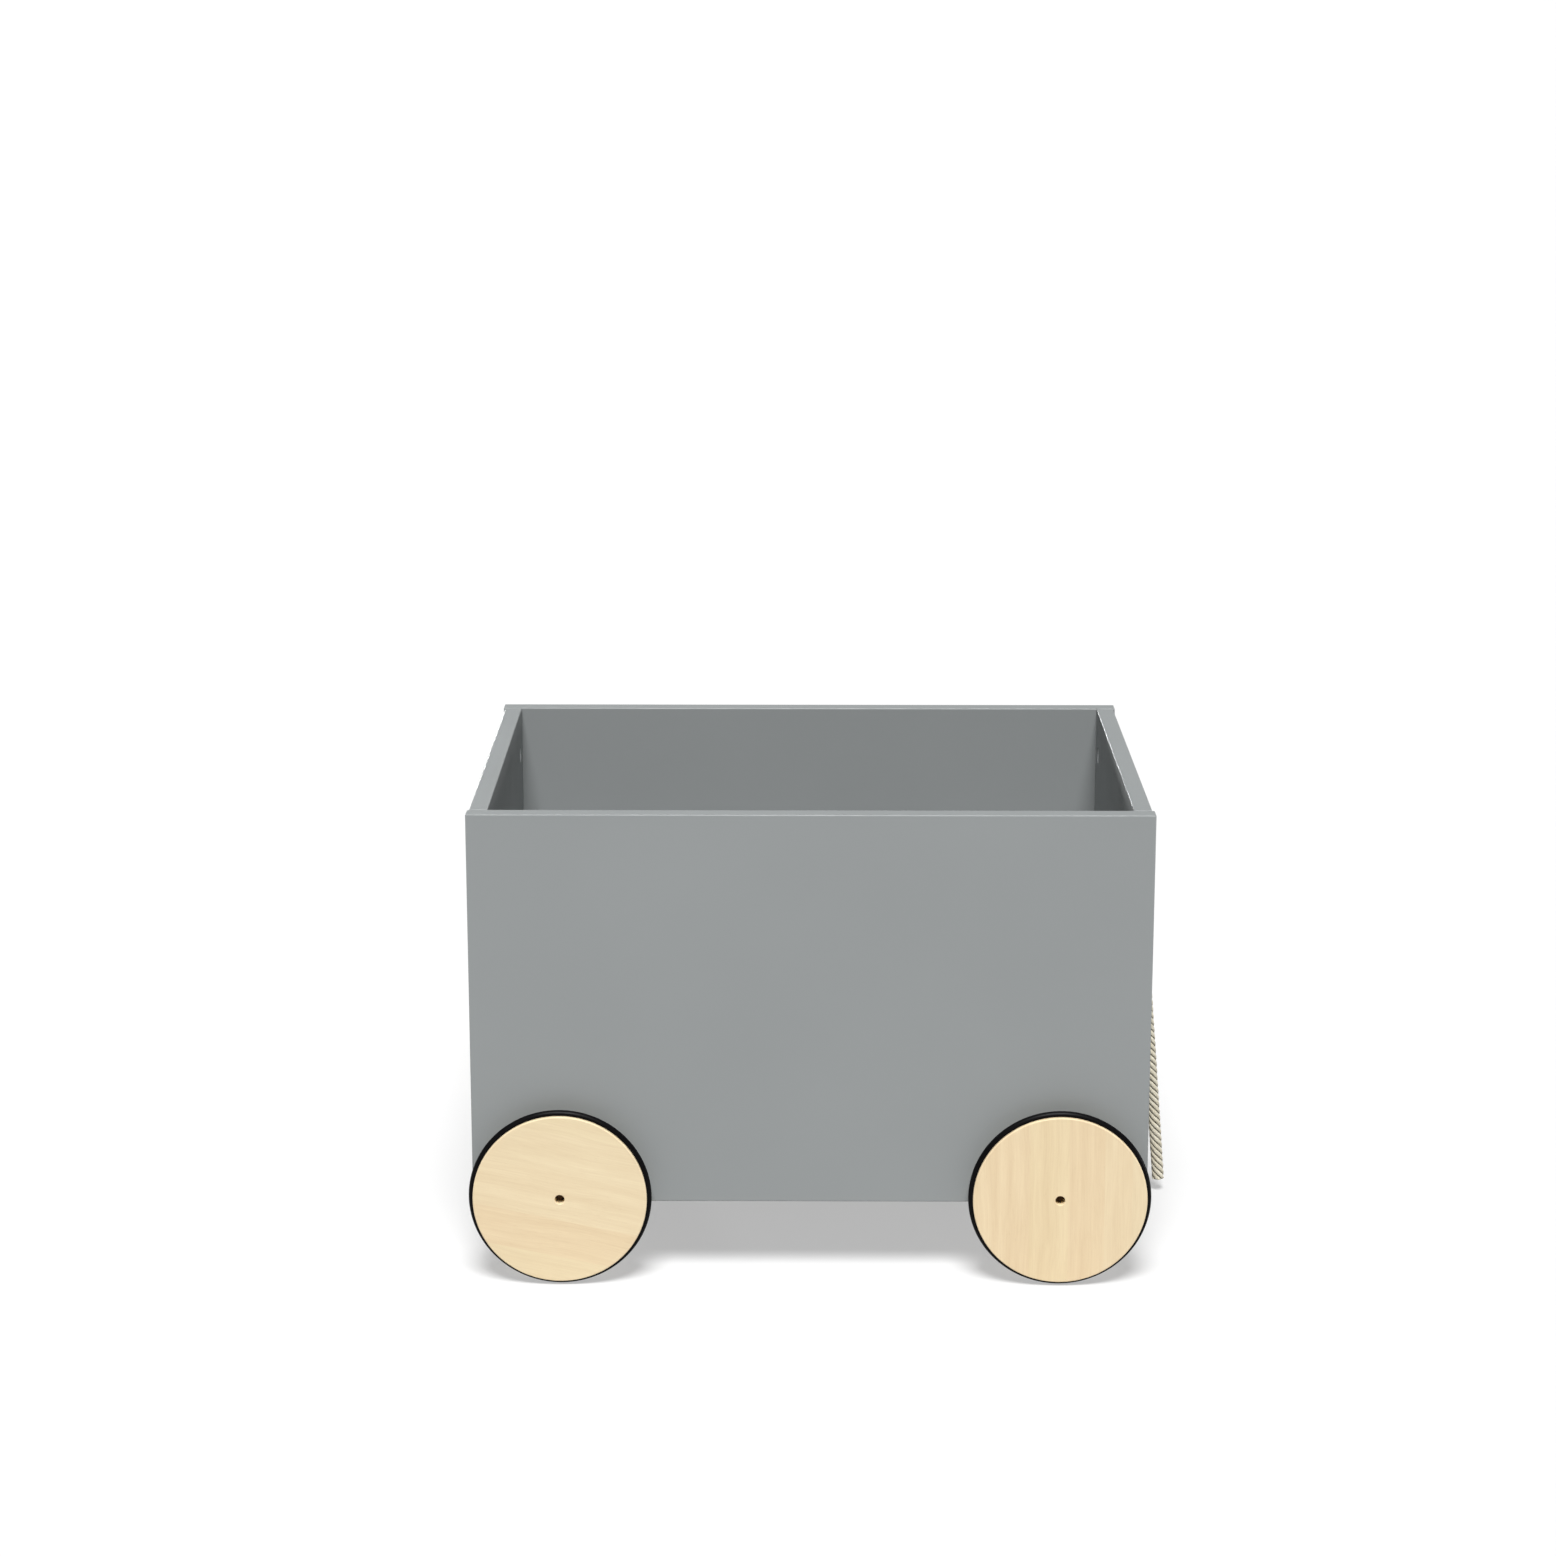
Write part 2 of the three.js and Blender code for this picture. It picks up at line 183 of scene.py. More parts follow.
def push_apart(knot, counts_as_touching):
    between = knot[:, None] - knot[None]
    apart = np.linalg.norm(between, axis=2) + 1e-9
    pressed = (apart < pressed_thickness) & counts_as_touching
    push = between * np.where(pressed, 0.5 * (pressed_thickness / apart - 1), 0)[..., None]
    return push.sum(axis=1) / np.maximum(1, 0.5 * pressed.sum(axis=1))[:, None]


def shorten(knot, link):
    for first in (0, 1):
        a, b = knot[first:-1:2], knot[first + 1::2]
        a = a[: len(b)]
        line = b - a
        long = np.linalg.norm(line, axis=1, keepdims=True)
        slack = 0.5 * (long - link) / long * line
        a += slack
        b -= slack


def tight_knot():
    knot = loose_knot()
    number = np.arange(knot_links)
    links_apart = np.abs(number[:, None] - number[None])
    ends = np.array([[-knot_span / 2, 0, 0], [knot_span / 2, 0, 0]])
    for turn in range(knot_rounds):
        pulled = min(1, turn / (0.7 * knot_rounds))
        link = (knot_loose + (knot_tight - knot_loose) * pulled) / (knot_links - 1)
        knot[1:-1] += 0.3 * ((knot[:-2] + knot[2:]) / 2 - knot[1:-1])
        knot[3:-3] += 0.06 * ((knot[:-6] + knot[6:]) / 2 - knot[3:-3])
        for _ in range(2):
            knot += push_apart(knot, links_apart * link > 1.55 * pressed_thickness)
        for _ in range(6):
            shorten(knot, link)
            knot[[0, -1]] += (ends - knot[[0, -1]]) * (0.02 if pulled < 0.4 else 1)
    return knot


tied = tight_knot()
print("The knot is", (np.ptp(tied, axis=0) * 1000).round(), "mm with its ends")

# %% [markdown]
# The tight knot has both its ends running off at a slant. It is turned so that the standing end runs
# straight through the hole and the short end hangs down, and slid up against the board.

# %% Turn the knot to its place
tail_length = mm(34)  # short end, past the middle of the knot
rope_radius = mm(5.7)
side_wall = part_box("right_side_panel")[0][0]  # inner face of the right side panel


def placed_knot(knot):
    lead = Vector(knot[-1] - knot[-10])
    knot = (knot - knot[-1]) @ np.array(lead.rotation_difference((1, 0, 0)).to_matrix()).T
    _, tail_y, tail_z = knot[0] - knot[10]
    hang = -math.pi / 2 - math.atan2(tail_z, tail_y)
    knot = knot @ np.array(Matrix.Rotation(hang, 3, "X")).T
    heart = knot[np.abs(knot[:, 1]) > mm(5)]
    knot[:, 0] += side_wall - mm(0.4) - rope_radius - heart[:, 0].max()
    knot += (0, rope_points[0].y, rope_points[0].z)
    lowest = knot[np.abs(knot[:, 1]) > mm(5), 2].mean() - tail_length
    shown = (knot[:, 0] < rope_points[0].x - mm(1.5)) & (knot[:, 2] > lowest)
    return knot[shown]


hung = placed_knot(tied)
knot_route = smooth_route(list(hung) + [rope_points[0]], lay_step)
print("The knot takes", round(len(knot_route) * lay_step, 3), "m of rope")

# %% [markdown]
# ## Laying the strands along the route
#
# Every ring of the straight rope goes to one place on the route. The two directions across the rope
# are carried from ring to ring and only straightened, never spun, so the rope doesn't twist more in
# its bends. Each vertex also remembers its place in its own strand and how far out it lies, because
# the cotton finish follows the strand and paints shade, a darker colour, into the grooves.

# %% Straight rope, then laid rope
strand_count = 5
strand_middle = mm(3.6)  # middle of a strand, from the middle of the rope
strand_height, strand_width = mm(2.1), mm(2.62)  # half a strand's section, outwards and sideways
core_radius = mm(1.9)
lay_length = mm(34)  # length of one whole turn of a strand; the strands turn to the left
yarns, yarn_depth, yarn_lay = 7, 0.055, mm(21)
strand_sides = 24


def strand_ring(bm, height, width, out, turn):
    ring = bmesh.ops.create_circle(bm, segments=strand_sides, radius=1)["verts"]
    for number, vert in enumerate(ring):
        vert[bm.verts.layers.float["around"]] = math.atan2(vert.co.y, vert.co.x)
        vert[bm.verts.layers.float["strand"]] = turn
        vert[bm.verts.layers.float["out"]] = out
    bmesh.ops.scale(bm, vec=(height, width, 1), verts=ring)
    bmesh.ops.translate(bm, vec=(out, 0, 0), verts=ring)
    bmesh.ops.rotate(bm, cent=(0, 0, 0), matrix=Matrix.Rotation(turn, 3, "Z"), verts=ring)


def straight_rope(rings):
    bm = bmesh.new()
    for name in ("around", "strand", "out"):
        bm.verts.layers.float.new(name)
    for k in range(strand_count):
        strand_ring(bm, strand_height, strand_width, strand_middle, 2 * math.pi * k / strand_count)
    strand_ring(bm, core_radius, core_radius, 0, 0)
    twist = -2 * math.pi * (rings - 1) * lay_step / lay_length
    bmesh.ops.spin(
        bm,
        geom=bm.verts[:] + bm.edges[:],
        cent=(0, 0, 0),
        axis=(0, 0, 1),
        dvec=(0, 0, lay_step),
        angle=twist,
        steps=rings - 1,
    )
    open_edges = [edge for edge in bm.edges if edge.is_boundary]
    caps = bmesh.ops.holes_fill(bm, edges=open_edges, sides=0)["faces"]
    soft = bmesh.ops.inset_individual(bm, faces=caps, thickness=mm(0.5))
    bmesh.ops.recalc_face_normals(bm, faces=bm.faces)
    bulge = {vert: face.normal.z * mm(0.35) for face in caps for vert in face.verts}
    for vert, rise in bulge.items():
        vert.co.z += rise
    for face in bm.faces:
        face.smooth = True
    return bm


def carried_frames(route):
    ahead = np.gradient(route, axis=0)
    ahead /= np.linalg.norm(ahead, axis=1, keepdims=True)
    side = np.zeros_like(route)
    last = np.cross(ahead[0], (0.3, 0.2, 0.9))
    for i, forward in enumerate(ahead):
        last = last - forward * np.dot(last, forward)
        last /= np.linalg.norm(last)
        side[i] = last
    return ahead, side, np.cross(ahead, side)


def lay_along(name, route, frames, start):
    """A rope piece whose first ring lies `start` along the whole rope, so that its strands go on."""
    ahead, side, over = frames
    bm = straight_rope(len(route))
    mesh = bpy.data.meshes.new(name)
    bm.to_mesh(mesh)
    bm.free()
    at = np.empty(len(mesh.vertices) * 3)
    mesh.vertices.foreach_get("co", at)
    at = at.reshape(-1, 3)
    value = {}
    for layer in ("around", "strand", "out"):
        value[layer] = np.empty(len(at))
        mesh.attributes[layer].data.foreach_get("value", value[layer])
    along = start + at[:, 2]
    ring = np.clip(at[:, 2] / lay_step, 0, len(route) - 1)
    past = at[:, 2] - ring * lay_step
    turn = value["strand"] - 2 * math.pi * at[:, 2] / lay_length
    centre = value["out"][:, None] * np.stack([np.cos(turn), np.sin(turn)], axis=1)
    plump = 1 + yarn_depth * np.cos(yarns * (value["around"] + 2 * math.pi * along / yarn_lay))
    flat = centre + (at[:, :2] - centre) * plump[:, None]
    phase = -2 * math.pi * start / lay_length
    across = flat @ np.array([[math.cos(phase), math.sin(phase)], [-math.sin(phase), math.cos(phase)]])
    steps = np.arange(len(route))
    follow = lambda rows: np.stack([np.interp(ring, steps, rows[:, k]) for k in range(3)], axis=1)
    laid = follow(route) + across[:, :1] * follow(side) + across[:, 1:] * follow(over)
    laid += past[:, None] * follow(ahead)
    mesh.vertices.foreach_set("co", laid.ravel())
    spin = value["around"] + 2 * math.pi * along / yarn_lay
    own = np.stack([np.cos(spin), np.sin(spin)], axis=1) * strand_height
    place = np.column_stack([own + 10 * value["strand"][:, None] * strand_height, along])
    mesh.attributes.new("strand_place", "FLOAT_VECTOR", "POINT").data.foreach_set("vector", place.ravel())
    # how far out a vertex lies; the cotton finish paints shade where it is low, between strands
    height = np.linalg.norm(flat, axis=1) / (strand_middle + strand_height)
    mesh.attributes.new("height", "FLOAT", "POINT").data.foreach_set("value", height)
    for layer in ("around", "strand", "out"):
        mesh.attributes.remove(mesh.attributes[layer])
    mesh.update()
    return mesh


whole_route = np.concatenate([knot_route[:-1], rope_route])
whole_frames = carried_frames(whole_route)
wall_ring = len(knot_route) - 1
knot_part = slice(0, wall_ring + 1)
rope_part = slice(wall_ring, len(whole_route))
knot_mesh = lay_along("stopper_knot", whole_route[knot_part], [f[knot_part] for f in whole_frames], 0)
rope_mesh = lay_along(
    "laid_rope", whole_route[rope_part], [f[rope_part] for f in whole_frames], wall_ring * lay_step
)
print("Rope faces:", len(rope_mesh.polygons), "and knot faces:", len(knot_mesh.polygons))

# %% [markdown]
# ## Making pieces and putting them in the frame
#
# Every piece below goes the same way: a bmesh becomes an object at the origin, gets its finish, and
# stands for one CAD node, whose body and slot it takes over.

# %% From a mesh to a piece in the frame
finishes = {}


def link_piece(name, mesh, node):
    piece = bpy.data.objects.new(name, mesh)
    mesh.materials.append(finishes[slot_of[node]])
    bpy.context.collection.objects.link(piece)
    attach(piece, body_of[node])
    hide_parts(node)
    return piece


def stand_in(node, bm):
    mesh = bpy.data.meshes.new(f"{node}_made")
    bm.to_mesh(mesh)
    bm.free()
    return link_piece(f"{node}_made", mesh, node)


# %% [markdown]
# ## Shared effects
#
# Several finishes need the same things: fine mottling of a colour, worn edges, a grain that runs
# one way. Each is a node group with named inputs and outputs, built once and placed in any material.
# The groups only hand on colours and heights. Every shader stays in its own material.

# %% Node helpers
def node_group(name, inputs, outputs):
    group = bpy.data.node_groups.new(name, "ShaderNodeTree")
    for socket, kind, start in inputs:
        made = group.interface.new_socket(socket, in_out="INPUT", socket_type=f"NodeSocket{kind}")
        made.default_value = start
    for socket, kind in outputs:
        group.interface.new_socket(socket, in_out="OUTPUT", socket_type=f"NodeSocket{kind}")
    return group, group.nodes.new("NodeGroupInput").outputs, group.nodes.new("NodeGroupOutput").inputs


def add_node(tree, kind, inputs=None, **settings):
    """A shader node with its settings, and its inputs set to values or joined to other sockets."""
    node = tree.nodes.new(f"ShaderNode{kind}")
    for setting, value in settings.items():
        setattr(node, setting, value)
    for socket, value in (inputs or {}).items():
        if isinstance(value, bpy.types.NodeSocket):
            tree.links.new(value, node.inputs[socket])
        else:
            node.inputs[socket].default_value = value
    return node


def math_node(tree, operation, first, second=0.0, clamp=False):
    return add_node(tree, "Math", {0: first, 1: second}, operation=operation, use_clamp=clamp).outputs[0]


def mixed_colour(tree, amount, first, second, blend="MIX"):
    node = add_node(tree, "Mix", data_type="RGBA", blend_type=blend)
    for socket, value in ((0, amount), (6, first), (7, second)):
        if isinstance(value, bpy.types.NodeSocket):
            tree.links.new(value, node.inputs[socket])
        else:
            node.inputs[socket].default_value = value
    return node.outputs[2]


def spread(tree, value, low, high, to_low=0.0, to_high=1.0):
    inputs = {"Value": value, "From Min": low, "From Max": high, "To Min": to_low, "To Max": to_high}
    return add_node(tree, "MapRange", inputs, clamp=True).outputs["Result"]


# %% [markdown]
# **Mottle** makes a colour a little lighter and darker in soft patches, the way any real coat or
# board varies, and hands on a fine height for a bump.

# %% Mottle
def make_mottle():
    inputs = [
        ("Place", "Vector", (0, 0, 0)),
        ("Colour", "Color", (0.5, 0.5, 0.5, 1)),
        ("Patch", "Float", 12.0),
        ("Strength", "Float", 0.05),
        ("Fine", "Float", 900.0),
    ]
    group, given, result = node_group("mottle", inputs, [("Colour", "Color"), ("Height", "Float")])
    patches = add_node(group, "TexNoise", {"Vector": given["Place"], "Scale": given["Patch"], "Detail": 3.0})
    fine = add_node(group, "TexNoise", {"Vector": given["Place"], "Scale": given["Fine"], "Detail": 2.0})
    offset = math_node(group, "SUBTRACT", patches.outputs["Fac"], 0.5)
    gain = math_node(group, "ADD", math_node(group, "MULTIPLY", offset, given["Strength"]), 1.0)
    shaded = add_node(group, "VectorMath", {0: given["Colour"], "Scale": gain}, operation="SCALE")
    group.links.new(shaded.outputs[0], result["Colour"])
    group.links.new(fine.outputs["Fac"], result["Height"])
    return group


# %% [markdown]
# **Worn edge** reads the `edge` value that the board maker below leaves on its rounded edges. Noise
# breaks the band up, so that the paint looks rubbed in places and not outlined.

# %% Worn edge
def make_worn_edge():
    inputs = [
        ("Place", "Vector", (0, 0, 0)),
        ("Colour", "Color", (0.5, 0.5, 0.5, 1)),
        ("Worn", "Color", (0.8, 0.8, 0.8, 1)),
        ("Amount", "Float", 0.5),
    ]
    group, given, result = node_group("worn edge", inputs, [("Colour", "Color"), ("Mask", "Float")])
    edge = add_node(group, "Attribute", attribute_name="edge").outputs["Fac"]
    rubs = add_node(group, "TexNoise", {"Vector": given["Place"], "Scale": 45.0, "Detail": 4.0})
    broken = spread(group, rubs.outputs["Fac"], 0.42, 0.68)
    mask = math_node(group, "MULTIPLY", math_node(group, "MULTIPLY", edge, broken), given["Amount"])
    worn = mixed_colour(group, mask, given["Colour"], given["Worn"])
    group.links.new(worn, result["Colour"])
    group.links.new(mask, result["Mask"])
    return group


# %% [markdown]
# **Wood figure** draws pale sanded wood. It reads `grain_place`, which each wooden piece carries:
# metres along the grain, across it and through it. Staves of slightly different wood are glued side
# by side, each has soft streaks that run along the grain, and short fine pores lie on top.

# %% Wood figure
def make_wood_figure():
    inputs = [
        ("Light", "Color", (0.85, 0.7, 0.45, 1)),
        ("Dark", "Color", (0.7, 0.5, 0.3, 1)),
        ("Stave", "Float", 0.03),
        ("Contrast", "Float", 0.5),
    ]
    outputs = [("Colour", "Color"), ("Height", "Float")]
    group, given, result = node_group("wood figure", inputs, outputs)
    place = add_node(group, "Attribute", attribute_name="grain_place").outputs["Vector"]
    axes = add_node(group, "SeparateXYZ", {0: place}).outputs
    across = math_node(group, "DIVIDE", axes["Y"], given["Stave"])
    staves = add_node(group, "TexVoronoi", {"W": across, "Scale": 1.0}, voronoi_dimensions="1D")
    stave = add_node(group, "SeparateColor", {0: staves.outputs["Color"]}).outputs
    shift = add_node(group, "CombineXYZ", {"X": stave["Red"], "Y": stave["Green"], "Z": stave["Blue"]})
    own = add_node(group, "VectorMath", {0: place, 1: shift.outputs[0]}, operation="ADD").outputs[0]
    wander = add_node(group, "TexNoise", {"Vector": own, "Scale": 9.0, "Detail": 1.0}).outputs["Color"]
    bend = add_node(group, "VectorMath", {0: wander, 1: (0.0, 0.012, 0.012)}, operation="MULTIPLY")
    bent = add_node(group, "VectorMath", {0: own, 1: bend.outputs[0]}, operation="ADD").outputs[0]

    def streaks(along, over, detail):
        scale = add_node(group, "VectorMath", {0: bent, 1: (along, over, over)}, operation="MULTIPLY")
        noise = add_node(group, "TexNoise", {"Vector": scale.outputs[0], "Scale": 1.0, "Detail": detail})
        return noise.outputs["Fac"]

    rings = spread(group, streaks(5, 110, 2.0), 0.3, 0.7)
    fibres = spread(group, streaks(26, 900, 3.0), 0.3, 0.7)
    pores = spread(group, streaks(160, 2600, 1.0), 0.66, 0.74)
    figure = math_node(group, "ADD", math_node(group, "MULTIPLY", rings, 0.5), math_node(group, "MULTIPLY", fibres, 0.35))
    tone = math_node(group, "ADD", figure, math_node(group, "MULTIPLY", pores, 0.35))
    amount = math_node(group, "MULTIPLY", tone, given["Contrast"], clamp=True)
    wood = mixed_colour(group, amount, given["Light"], given["Dark"])
    warm = spread(group, stave["Red"], 0, 1, 0.0, 0.55)
    wood = mixed_colour(group, warm, wood, (1.0, 0.9, 0.84, 1), "MULTIPLY")
    pale = spread(group, stave["Green"], 0.3, 1, 0.0, 0.5)
    wood = mixed_colour(group, pale, wood, (0.985, 1.0, 0.93, 1), "MULTIPLY")
    group.links.new(wood, result["Colour"])
    height = math_node(group, "SUBTRACT", math_node(group, "MULTIPLY", fibres, 0.35), pores)
    group.links.new(height, result["Height"])
    return group


mottle, worn_edge, wood_figure = make_mottle(), make_worn_edge(), make_wood_figure()
print("Node groups:", [group.name for group in (mottle, worn_edge, wood_figure)])

# %% [markdown]
# ## Finishes
#
# One material for each slot in the record. Every one starts from the same few lines: a Principled
# shader, a colour that varies over the surface, and a bump of the right size for the stuff it is.

# %% Starting a finish
def new_finish(slot, **plain):
    """An empty material with its Principled shader; numbers that are the same all over go on it."""
    finish = bpy.data.materials.new(slot)
    finish.use_nodes = True
    tree = finish.node_tree
    tree.nodes.clear()
    shader = add_node(tree, "BsdfPrincipled")
    for socket, value in plain.items():
        shader.inputs[socket.replace("_", " ")].default_value = value
    output = add_node(tree, "OutputMaterial")
    tree.links.new(shader.outputs[0], output.inputs["Surface"])
    finishes[slot] = finish
    return tree, shader


def use_group(tree, group, **inputs):
    node = tree.nodes.new("ShaderNodeGroup")
    node.node_tree = group
    for socket, value in inputs.items():
        if isinstance(value, bpy.types.NodeSocket):
            tree.links.new(value, node.inputs[socket])
        else:
            node.inputs[socket].default_value = value
    return node.outputs


def bump_from(tree, shader, height, depth, strength=1.0):
    bump = add_node(tree, "Bump", {"Height": height, "Distance": depth, "Strength": strength})
    tree.links.new(bump.outputs[0], shader.inputs["Normal"])


def object_place(tree):
    return add_node(tree, "TexCoord").outputs["Object"]


# %% [markdown]
# **Painted board.** The panels are fibreboard under a smooth grey satin paint. Under the light such a
# coat shows a very fine roller texture, a slightly uneven sheen, and a paler rub along its edges.

# %% Painted board
def paint_boards():
    tree, shader = new_finish("painted_board", Specular_IOR_Level=0.35)
    place = object_place(tree)
    coat = use_group(tree, mottle, Place=place, Colour=(0.264, 0.2785, 0.2805, 1), Patch=5.0, Strength=0.09, Fine=750.0)
    worn = use_group(tree, worn_edge, Place=place, Colour=coat["Colour"], Worn=(0.42, 0.43, 0.43, 1), Amount=0.4)
    tree.links.new(worn["Colour"], shader.inputs["Base Color"])
    handled = add_node(tree, "TexNoise", {"Vector": place, "Scale": 9.0, "Detail": 5.0, "Roughness": 0.6})
    tree.links.new(spread(tree, handled.outputs["Fac"], 0.3, 0.7, 0.46, 0.58), shader.inputs["Roughness"])
    bump_from(tree, shader, coat["Height"], mm(0.06), 0.35)


# %% [markdown]
# **Wheel wood and bare wood.** The wheels are pale wood, sanded and sealed with a matt lacquer, so
# their grain is faint and their sheen is soft. The dowels and cleats were never sealed, so they are
# rougher and show more grain.

# %% Woods
def seal_wood(slot, light, dark, stave, contrast, rough, depth):
    tree, shader = new_finish(slot, Roughness=rough, Specular_IOR_Level=0.4)
    wood = use_group(tree, wood_figure, Light=light, Dark=dark, Stave=stave, Contrast=contrast)
    tree.links.new(wood["Colour"], shader.inputs["Base Color"])
    bump_from(tree, shader, wood["Height"], depth, 0.5)


# %% [markdown]
# **Rubber.** Matt black, never quite black: dust greys it in soft patches, and the moulding leaves a
# fine grain.

# %% Rubber and nylon
def mould_black(slot, colour, shine, rough_low, rough_high, fine, depth):
    tree, shader = new_finish(slot, Specular_IOR_Level=shine)
    place = object_place(tree)
    skin = use_group(tree, mottle, Place=place, Colour=colour, Patch=30.0, Strength=0.7, Fine=fine)
    tree.links.new(skin["Colour"], shader.inputs["Base Color"])
    rubbed = add_node(tree, "TexNoise", {"Vector": place, "Scale": 40.0, "Detail": 3.0})
    rough = spread(tree, rubbed.outputs["Fac"], 0.3, 0.7, rough_low, rough_high)
    tree.links.new(rough, shader.inputs["Roughness"])
    bump_from(tree, shader, skin["Height"], depth, 0.5)


# %% [markdown]
# ** Steel and zinc.** The axles, bolts and screws are plated steel, with fine lines from the drawing
# of the bar. The axle ends, deep in the wheels' bores, are painted dark matt brown as painted shade,
# so that the bores read dark. The cams are cast zinc that was tumbled smooth, so they are duller.

# %% Metals
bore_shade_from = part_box("left_axle")[1][1] - mm(0.7)  # the ends of an axle, with their chamfers


def plate_metal(slot, colour, rough_low, rough_high, grain, depth):
    tree, shader = new_finish(slot)
    place = object_place(tree)
    drawn = add_node(tree, "VectorMath", {0: place, 1: grain}, operation="MULTIPLY").outputs[0]
    metal = use_group(tree, mottle, Place=drawn, Colour=colour, Patch=0.05, Strength=0.22, Fine=1.0)
    level = add_node(tree, "SeparateXYZ", {0: place}).outputs["Y"]
    # painted shade: past this level the axle ends turn dark matt brown, so the deep bores read dark
    bore_shade = spread(tree, math_node(tree, "ABSOLUTE", level), bore_shade_from, bore_shade_from + mm(0.1))
    tree.links.new(mixed_colour(tree, bore_shade, metal["Colour"], (0.075, 0.042, 0.024, 1)), shader.inputs["Base Color"])
    tree.links.new(spread(tree, bore_shade, 0, 1, 1.0, 0.15), shader.inputs["Metallic"])
    rough = spread(tree, metal["Height"], 0.3, 0.7, rough_low, rough_high)
    tree.links.new(math_node(tree, "MAXIMUM", rough, bore_shade), shader.inputs["Roughness"])
    bump_from(tree, shader, metal["Height"], depth, 0.4)


# %% [markdown]
# ** Cotton.** Undyed cotton is cream on the crown of a strand. Deep between strands, where little light
# gets in, the colour is painted nearly black brown as painted shade. Fibres run along each strand: a noise
# that is stretched along the strand's own place, which the rope carries, draws them wherever the strand goes.

# %% Cotton
def spin_cotton():
    tree, shader = new_finish("cotton", Roughness=0.95, Specular_IOR_Level=0.15, Sheen_Weight=0.25)
    shader.inputs["Sheen Roughness"].default_value = 0.5
    place = add_node(tree, "Attribute", attribute_name="strand_place").outputs["Vector"]
    stretched = add_node(tree, "VectorMath", {0: place, 1: (3200, 3200, 420)}, operation="MULTIPLY")
    fibre = add_node(tree, "TexNoise", {"Vector": stretched.outputs[0], "Scale": 1.0, "Detail": 3.0}).outputs["Fac"]
    patches = add_node(tree, "TexNoise", {"Vector": place, "Scale": 160.0, "Detail": 2.0}).outputs["Fac"]
    cream = mixed_colour(tree, spread(tree, patches, 0.3, 0.7), (0.72, 0.665, 0.52, 1), (0.86, 0.82, 0.69, 1))
    thread = mixed_colour(tree, spread(tree, fibre, 0.25, 0.6), (0.52, 0.46, 0.33, 1), cream)
    height = add_node(tree, "Attribute", attribute_name="height").outputs["Fac"]
    # painted shade: the colour goes nearly black where a vertex lies low between strands
    groove = spread(tree, height, 0.81, 0.935)
    colour = mixed_colour(tree, groove, (0.024, 0.019, 0.010, 1), thread)
    tree.links.new(colour, shader.inputs["Base Color"])
    bump_from(tree, shader, fibre, mm(0.25), 0.7)


paint_boards()
seal_wood("wheel_wood", (0.785, 0.665, 0.45, 1), (0.65, 0.505, 0.315, 1), 0.034, 0.85, 0.5, mm(0.05))
seal_wood("bare_wood", (0.70, 0.53, 0.32, 1), (0.50, 0.34, 0.18, 1), 0.06, 1.0, 0.7, mm(0.12))
mould_black("rubber", (0.0028, 0.0026, 0.0030, 1), 0.08, 0.34, 0.46, 1400.0, mm(0.03))
mould_black("nylon", (0.016, 0.016, 0.017, 1), 0.3, 0.38, 0.5, 1800.0, mm(0.02))
plate_metal("steel", (0.52, 0.53, 0.54, 1), 0.26, 0.42, (1400, 60, 1400), mm(0.012))
plate_metal("zinc", (0.68, 0.685, 0.69, 1), 0.40, 0.58, (900, 900, 900), mm(0.03))
spin_cotton()
print("Finishes:", sorted(finishes))

# %% [markdown]
# ## Boards
#
# A CAD board is already exact, holes and all, but its edges are razor sharp and its faces are loose
# triangles. So a board here is a merged copy of its node: doubles are removed, flat triangles are
# dissolved into whole faces, and then the long edges get a rounding that catches the light. The new
# vertices are marked `edge`, which is where the paint may be rubbed.

# %% Rounded copies of CAD boards
long_edge, sharp_turn = mm(14), math.radians(50)


def merged_copy(node):
    bm = bmesh.new()
    bm.from_mesh(frame["nodes"][node].data)
    bmesh.ops.remove_doubles(bm, verts=bm.verts, dist=mm(0.002))
    bmesh.ops.dissolve_limit(bm, angle_limit=math.radians(0.5), verts=bm.verts, edges=bm.edges)
    return bm


def turns_sharply(edge):
    return len(edge.link_faces) == 2 and edge.calc_face_angle(0) > sharp_turn


def round_edges(bm, edges, radius, segments=3):
    made = bmesh.ops.bevel(
        bm,
        geom=edges,
        offset=radius,
        affect="EDGES",
        segments=segments,
        profile=0.5,
        material=-1,
        clamp_overlap=True,
    )
    return made["faces"]


def mark_edges(bm, rounded):
    edge = bm.verts.layers.float.new("edge")
    for face in rounded:
        face.smooth = True
    for vert in {vert for face in rounded for vert in face.verts}:
        vert[edge] = float(all(face in rounded for face in vert.link_faces))


def rounded_board(node, radius, rim=mm(0.35)):
    bm = merged_copy(node)
    long = [edge for edge in bm.edges if turns_sharply(edge) and edge.calc_length() > long_edge]
    rounded = set(round_edges(bm, long, radius))
    flat = [face for face in bm.faces if face.calc_area() > mm(30) * mm(30)]
    mouths = {edge for face in flat for edge in face.edges if edge.calc_length() < mm(6)}
    mouths = [edge for edge in mouths if turns_sharply(edge)]
    rounded = {face for face in rounded if face.is_valid}
    rounded |= set(round_edges(bm, mouths, rim, 2))
    mark_edges(bm, {face for face in rounded if face.is_valid})
    return bm


boards = ["front_panel", "back_panel", "left_side_panel", "right_side_panel", "floor_panel"]
for board in boards:
    piece = stand_in(board, rounded_board(board, mm(0.9)))
    print(piece.name, "has", len(piece.data.polygons), "faces")

# %% [markdown]
# ## Turned pieces
#
# Wheels, tyres, bushes, axles, dowels and bolts are all round, and all made the way a lathe makes
# them: half of the section is drawn as an outline of radius and place along the axis, and
# `bmesh.ops.spin` takes it once round. Corners are written with the rounding that they get, and two
# extra points close to each rounding keep the flat faces beside it looking flat.

